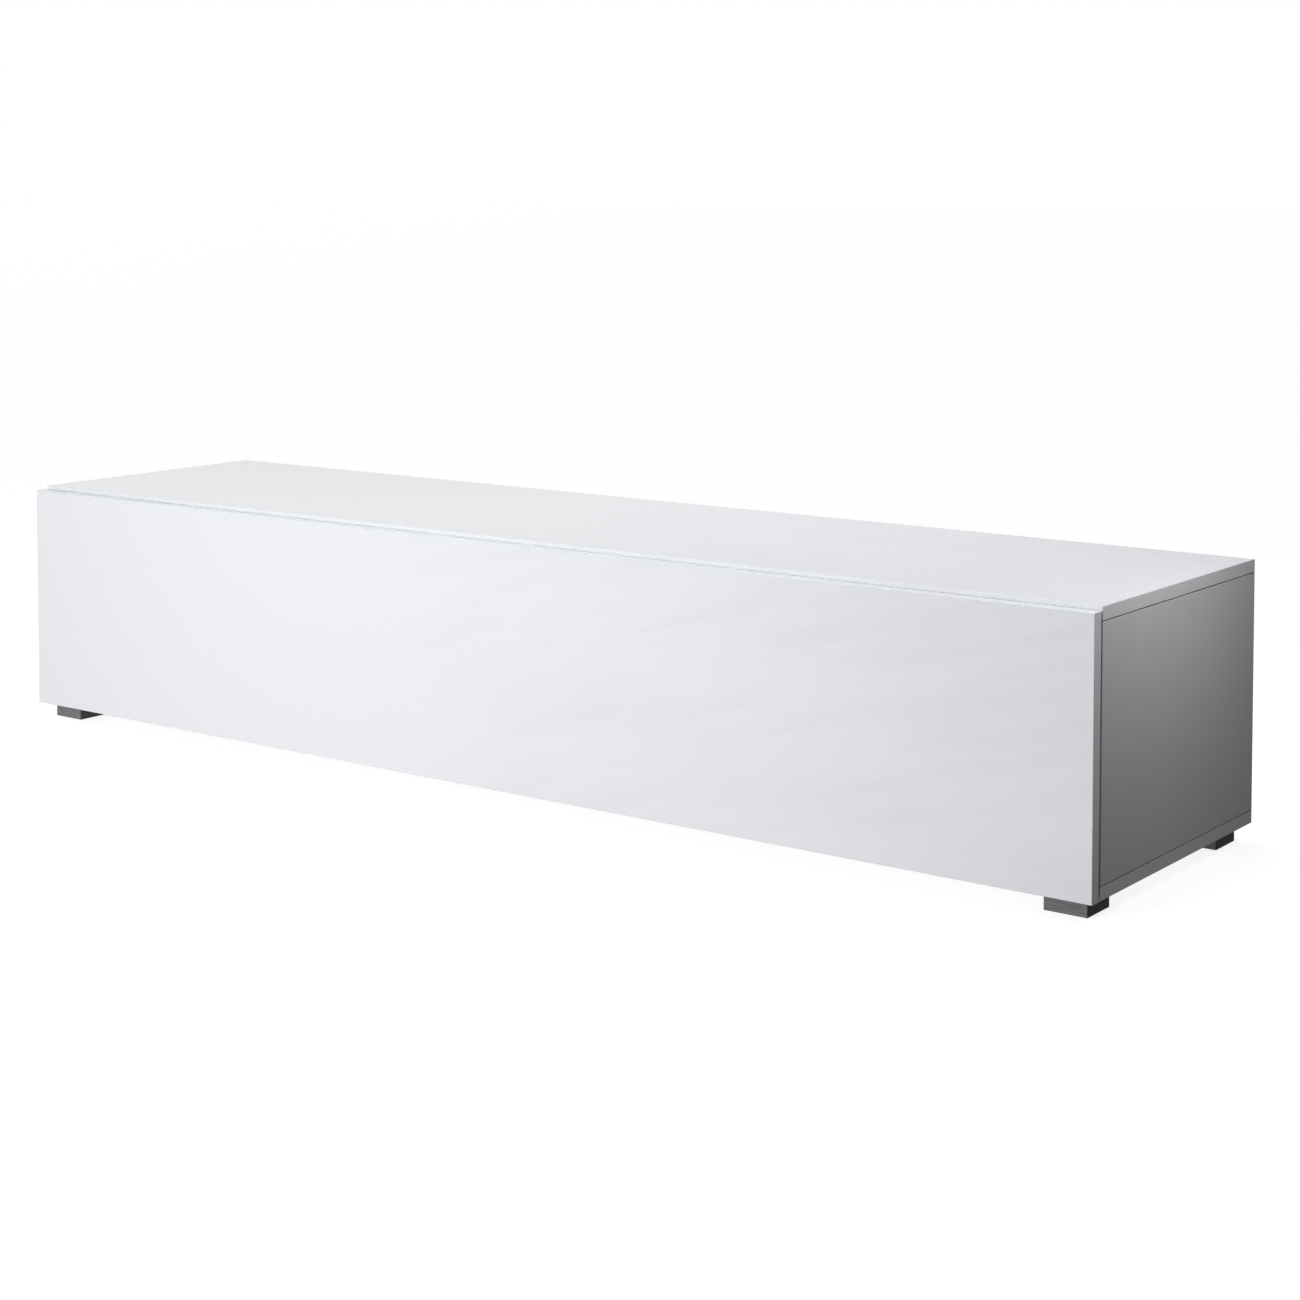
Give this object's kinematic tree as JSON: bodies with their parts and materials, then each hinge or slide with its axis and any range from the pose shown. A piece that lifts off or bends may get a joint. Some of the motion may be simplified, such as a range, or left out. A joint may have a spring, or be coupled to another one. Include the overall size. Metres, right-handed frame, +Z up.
{
  "type": "television bench",
  "caption": "Low television bench with a drop-down gloss front flap on cup hinges and friction stays, push latches, open compartments and low square feet.",
  "frame": {"origin": "on the floor under the middle of the bench", "axes": "+X along the bench to the right as seen from the front, +Y to the back, +Z up; the flap faces -Y"},
  "size_m": [1.6, 0.4, 0.32],
  "materials": {
    "gloss_board": "high-gloss white lacquered board",
    "foil_board": "matt white foil on chipboard",
    "back_board": "white painted hardboard",
    "white_plastic": "moulded white plastic",
    "foot_plastic": "silver-grey satin plastic",
    "zinc": "bright zinc plate",
    "beech": "bare beech",
    "nickel_steel": "nickel-plated steel",
    "grey_plastic": "moulded grey plastic",
    "clear_rubber": "clear soft bumper"
  },
  "bodies": {
    "carcass": {"top_panel": "gloss_board", "bottom_panel": "foil_board", "side_panel_left": "foil_board", "side_panel_right": "foil_board", "middle_upright": "foil_board", "back_panel_left": "back_board", "back_panel_right": "back_board", "back_joiner": "white_plastic", "cable_grommet_left": "white_plastic", "cable_grommet_right": "white_plastic", "foot_front_left": "foot_plastic", "foot_front_right": "foot_plastic", "foot_rear_left": "foot_plastic", "foot_rear_right": "foot_plastic", "foot_screws": "zinc", "cam_locks": "zinc", "cam_bolts": "zinc", "dowels": "beech", "hinge_plate_screws": "zinc", "stay_base_left": "nickel_steel", "stay_base_right": "nickel_steel", "stay_base_screws": "zinc", "latch_housing_left": "grey_plastic", "latch_housing_right": "grey_plastic", "latch_spring_left": "nickel_steel", "latch_spring_right": "nickel_steel", "latch_screws": "zinc", "hinge_arm_1": "nickel_steel", "hinge_arm_2": "nickel_steel", "hinge_arm_3": "nickel_steel", "hinge_arm_4": "nickel_steel", "hinge_plate_1": "nickel_steel", "hinge_plate_2": "nickel_steel", "hinge_plate_3": "nickel_steel", "hinge_plate_4": "nickel_steel"},
    "flap": {"flap_door": "gloss_board", "flap_bumpers": "clear_rubber", "hinge_pins": "nickel_steel", "hinge_cup_screws": "zinc", "stay_bracket_left": "nickel_steel", "stay_bracket_right": "nickel_steel", "stay_bracket_screws": "zinc", "stay_pins": "nickel_steel", "latch_strike_left": "nickel_steel", "latch_strike_right": "nickel_steel", "hinge_cup_1": "nickel_steel", "hinge_cup_2": "nickel_steel", "hinge_cup_3": "nickel_steel", "hinge_cup_4": "nickel_steel"},
    "brake_left": {"stay_brake_left": "grey_plastic"},
    "rod_left": {"stay_rod_left": "nickel_steel", "stay_rod_stop_left": "nickel_steel"},
    "plunger_left": {"latch_plunger_left": "grey_plastic", "latch_magnet_left": "nickel_steel"},
    "brake_right": {"stay_brake_right": "grey_plastic"},
    "rod_right": {"stay_rod_right": "nickel_steel", "stay_rod_stop_right": "nickel_steel"},
    "plunger_right": {"latch_plunger_right": "grey_plastic", "latch_magnet_right": "nickel_steel"}
  },
  "joints": [
    {"name": "flap_hinge", "type": "hinge", "parent": "carcass", "child": "flap", "pos_m": [0, -0.1935, 0.0265], "axis": [1, 0, 0], "range_deg": [0, 90]},
    {"name": "brake_swivel_left", "type": "hinge", "parent": "carcass", "child": "brake_left", "pos_m": [-0.773, -0.0875, 0.15282], "axis": [1, 0, 0], "range_deg": [0, 45]},
    {"name": "rod_pivot_left", "type": "hinge", "parent": "flap", "child": "rod_left", "pos_m": [-0.773, -0.17198, 0.18999], "axis": [1, 0, 0], "range_deg": [-45, 0]},
    {"name": "plunger_slide_left", "type": "slide", "parent": "carcass", "child": "plunger_left", "axis": [0, -1, 0], "range_m": [0, 0.02], "deforming": ["latch_spring_left"]},
    {"name": "brake_swivel_right", "type": "hinge", "parent": "carcass", "child": "brake_right", "pos_m": [0.773, -0.0875, 0.15282], "axis": [1, 0, 0], "range_deg": [0, 45]},
    {"name": "rod_pivot_right", "type": "hinge", "parent": "flap", "child": "rod_right", "pos_m": [0.773, -0.17198, 0.18999], "axis": [1, 0, 0], "range_deg": [-45, 0]},
    {"name": "plunger_slide_right", "type": "slide", "parent": "carcass", "child": "plunger_right", "axis": [0, -1, 0], "range_m": [0, 0.02], "deforming": ["latch_spring_right"]}
  ],
  "couplings": [
    {"joint": "brake_swivel_left", "follows": "flap_hinge", "ratio": 0.5},
    {"joint": "rod_pivot_left", "follows": "flap_hinge", "ratio": -0.5},
    {"joint": "plunger_slide_left", "follows": "flap_hinge", "m_per_rad": 0.01273},
    {"joint": "brake_swivel_right", "follows": "flap_hinge", "ratio": 0.5},
    {"joint": "rod_pivot_right", "follows": "flap_hinge", "ratio": -0.5},
    {"joint": "plunger_slide_right", "follows": "flap_hinge", "m_per_rad": 0.01273}
  ]
}
